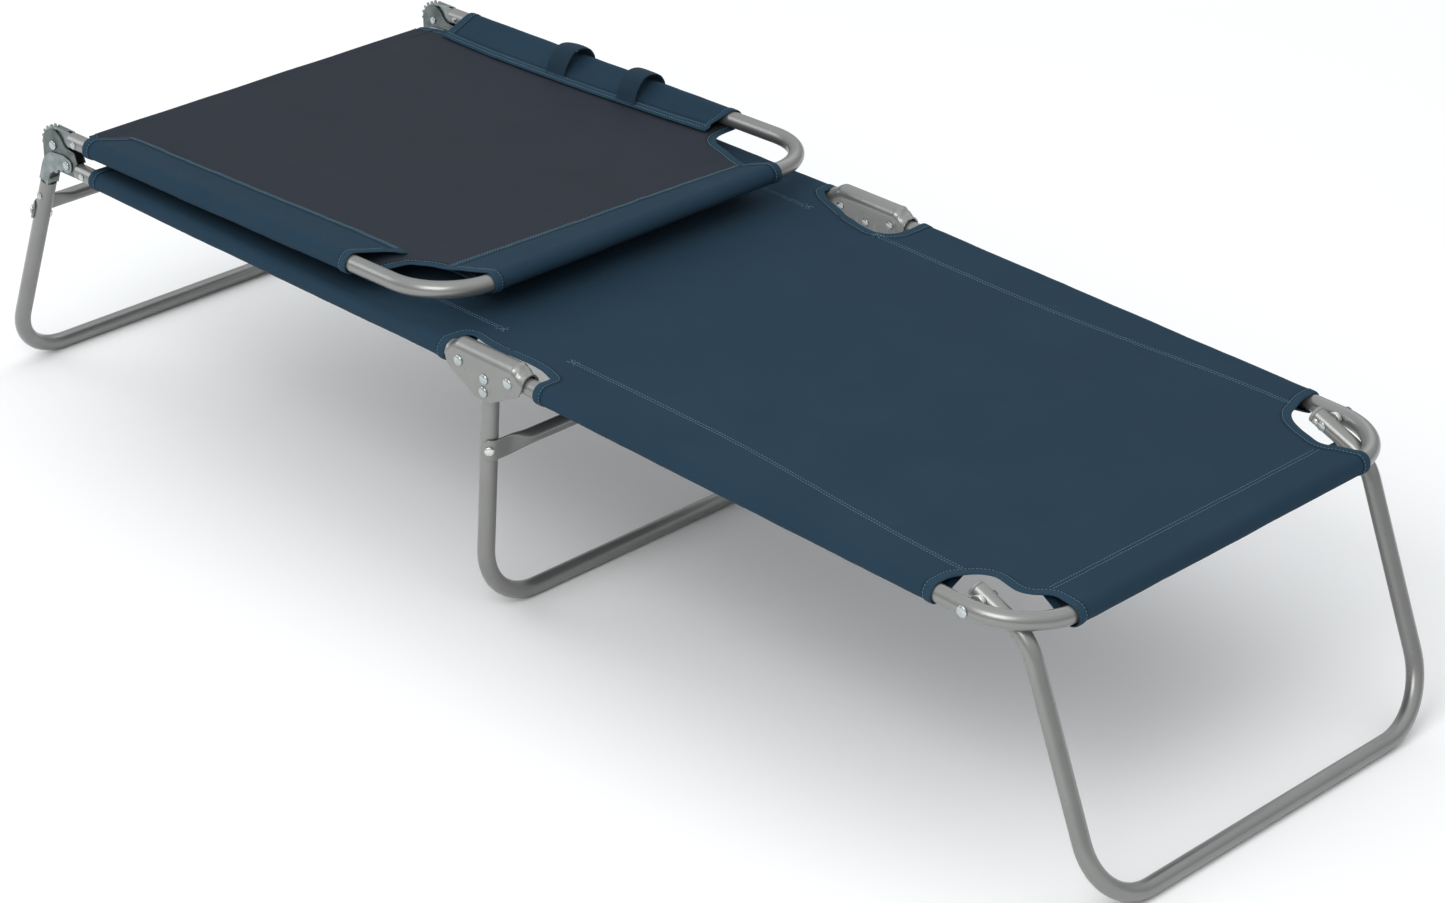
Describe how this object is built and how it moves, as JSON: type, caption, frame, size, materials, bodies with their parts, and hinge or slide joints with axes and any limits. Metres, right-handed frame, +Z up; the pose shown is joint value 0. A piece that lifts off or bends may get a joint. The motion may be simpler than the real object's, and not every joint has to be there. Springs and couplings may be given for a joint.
{
  "type": "folding cot",
  "caption": "Low folding cot: bent steel tube frame on U-shaped legs, fabric sleeping surface, head panel folded over onto the bed.",
  "frame": {"origin": "on the floor, at the middle of the footprint, with the head panel folded over and all legs out", "axes": "+X towards the foot end along the bed, -Y towards the sleeper's right side, +Z up"},
  "size_m": [1.5841, 0.5782, 0.3466],
  "materials": {
    "frame_paint": "satin silver-grey powder coat with a fine orange-peel",
    "hinge_zinc": "dull zinc-plated pressed steel",
    "zinc_rivets": "zinc-plated domed rivets",
    "bright_steel": "bright plated small parts",
    "cap_plastic": "grey moulded end caps",
    "bed_fabric": "blue coated polyester weave, darker coated underside",
    "webbing": "blue ribbed webbing"
  },
  "bodies": {
    "centre": {"mid_bracket_right": "frame_paint", "mid_bracket_left": "frame_paint", "mid_leg_frame": "frame_paint", "mid_leg_brace": "frame_paint", "head_pivot_rivet_right": "zinc_rivets", "head_pivot_rivet_left": "zinc_rivets", "foot_pivot_rivet_right": "zinc_rivets", "foot_pivot_rivet_left": "zinc_rivets", "leg_rivet_upper_right": "zinc_rivets", "leg_rivet_upper_left": "zinc_rivets", "leg_rivet_lower_right": "zinc_rivets", "leg_rivet_lower_left": "zinc_rivets", "mid_brace_rivet_right": "bright_steel", "mid_brace_rivet_left": "bright_steel"},
    "head_section": {"head_rail_right": "frame_paint", "head_rail_left": "frame_paint", "hinge_cheeks_right": "hinge_zinc", "hinge_cheeks_left": "hinge_zinc", "hub_rivet_right": "zinc_rivets", "hub_rivet_left": "zinc_rivets", "rail_rivet_right": "zinc_rivets", "rail_rivet_left": "zinc_rivets", "leg_pivot_rivet_right": "zinc_rivets", "leg_pivot_rivet_left": "zinc_rivets", "pawl_spring_right": "bright_steel", "pawl_spring_left": "bright_steel", "bed_fabric_head": "bed_fabric"},
    "foot_section": {"foot_frame": "frame_paint", "bed_fabric_foot": "bed_fabric"},
    "head_panel": {"head_panel_frame": "frame_paint", "toothed_plate_right": "hinge_zinc", "toothed_plate_left": "hinge_zinc", "panel_rivet_right": "zinc_rivets", "panel_rivet_left": "zinc_rivets", "panel_fabric": "bed_fabric", "strap_loop_1": "webbing", "strap_loop_2": "webbing"},
    "head_leg": {"head_leg_frame": "frame_paint", "head_leg_brace": "frame_paint", "leg_plate_right": "hinge_zinc", "leg_plate_left": "hinge_zinc", "shank_rivet_right": "zinc_rivets", "shank_rivet_left": "zinc_rivets", "head_brace_rivet_right": "bright_steel", "head_brace_rivet_left": "bright_steel"},
    "foot_leg": {"foot_leg_frame": "frame_paint", "foot_leg_rivet_right": "zinc_rivets", "foot_leg_rivet_left": "zinc_rivets", "leg_spacer_right": "bright_steel", "leg_spacer_left": "bright_steel", "end_cap_right": "cap_plastic", "end_cap_left": "cap_plastic", "cap_screw_right": "bright_steel", "cap_screw_left": "bright_steel"},
    "pawl_right": {"pawl_right": "hinge_zinc"},
    "pawl_left": {"pawl_left": "hinge_zinc"}
  },
  "joints": [
    {"name": "head_section_fold", "type": "hinge", "parent": "centre", "child": "head_section", "pos_m": [-0.024, 0, 0.283], "axis": [0, -1, 0], "range_deg": [0, 85]},
    {"name": "foot_section_fold", "type": "hinge", "parent": "centre", "child": "foot_section", "pos_m": [0.0466, 0, 0.283], "axis": [0, 1, 0], "range_deg": [0, 85]},
    {"name": "head_panel_turn", "type": "hinge", "parent": "head_section", "child": "head_panel", "pos_m": [-0.679, 0, 0.3032], "axis": [0, -1, 0], "range_deg": [0, 178.7]},
    {"name": "head_leg_fold", "type": "hinge", "parent": "head_section", "child": "head_leg", "pos_m": [-0.6544, 0, 0.2875], "axis": [0, -1, 0], "range_deg": [0, 108]},
    {"name": "foot_leg_fold", "type": "hinge", "parent": "foot_section", "child": "foot_leg", "pos_m": [0.6305, 0, 0.2722], "axis": [0, 1, 0], "range_deg": [0, 113]},
    {"name": "pawl_right_tilt", "type": "hinge", "parent": "head_section", "child": "pawl_right", "pos_m": [-0.6544, -0.275, 0.2875], "axis": [0, 1, 0], "range_deg": [0, 8]},
    {"name": "pawl_left_tilt", "type": "hinge", "parent": "head_section", "child": "pawl_left", "pos_m": [-0.6544, 0.275, 0.2875], "axis": [0, 1, 0], "range_deg": [0, 8]}
  ]
}
